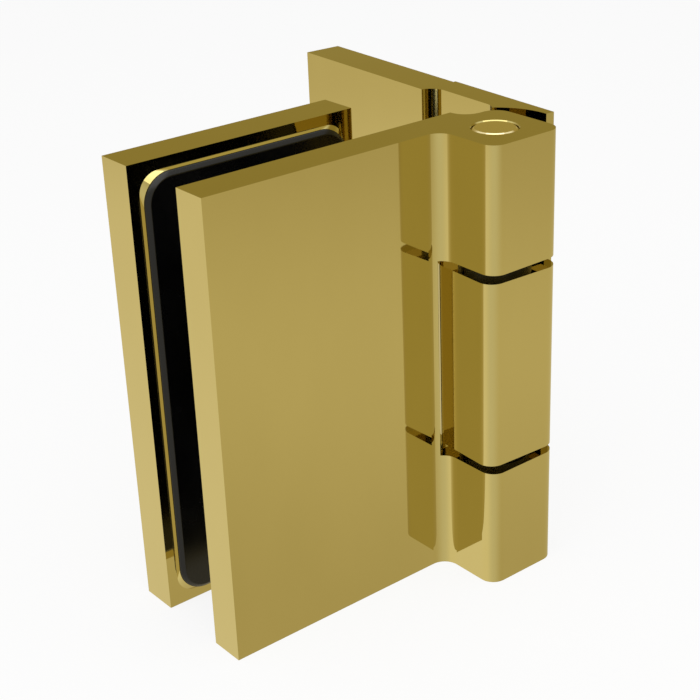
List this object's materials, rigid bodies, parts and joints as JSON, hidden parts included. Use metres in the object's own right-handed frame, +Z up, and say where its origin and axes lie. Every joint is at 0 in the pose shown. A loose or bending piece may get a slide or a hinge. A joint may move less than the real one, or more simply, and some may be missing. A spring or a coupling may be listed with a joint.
{
  "type": "glass door hinge",
  "caption": "Wall-to-glass door hinge: two polished plates clamp the glass and swing on an offset pin, beside a wall plate with a cover.",
  "frame": {"origin": "on the wall face, at the centre of the four wall screw holes and at mid height", "axes": "+X out of the wall face into the wall, +Y along the wall away from the pin, +Z up along the pin; the door leaf runs towards -X and opens towards -Y"},
  "size_m": [0.0761, 0.0768, 0.09],
  "materials": {
    "polished_brass": "mirror-polished, pale gold",
    "black_rubber": "smooth with a slight sheen",
    "black_acetal": "turned, satin",
    "white_nylon": "moulded, translucent white",
    "steel_screw": "bright stainless, lightly turned"
  },
  "bodies": {
    "wall_side": {"wall_bracket": "polished_brass", "wall_cover": "polished_brass", "cover_screw": "steel_screw", "upper_bush": "black_acetal", "lower_bush": "black_acetal"},
    "door_side": {"door_leaf": "polished_brass", "clamp_plate": "polished_brass", "outer_gasket": "black_rubber", "inner_gasket": "black_rubber", "clamp_screws": "steel_screw", "upper_glass_sleeve": "white_nylon", "lower_glass_sleeve": "white_nylon", "hinge_pin": "polished_brass", "pin_screws": "steel_screw"}
  },
  "joints": [
    {"name": "door_swing", "type": "hinge", "parent": "wall_side", "child": "door_side", "pos_m": [-0.0144, -0.0472, 0], "axis": [0, 0, 1], "range_deg": [-2.8, 87.2]}
  ]
}
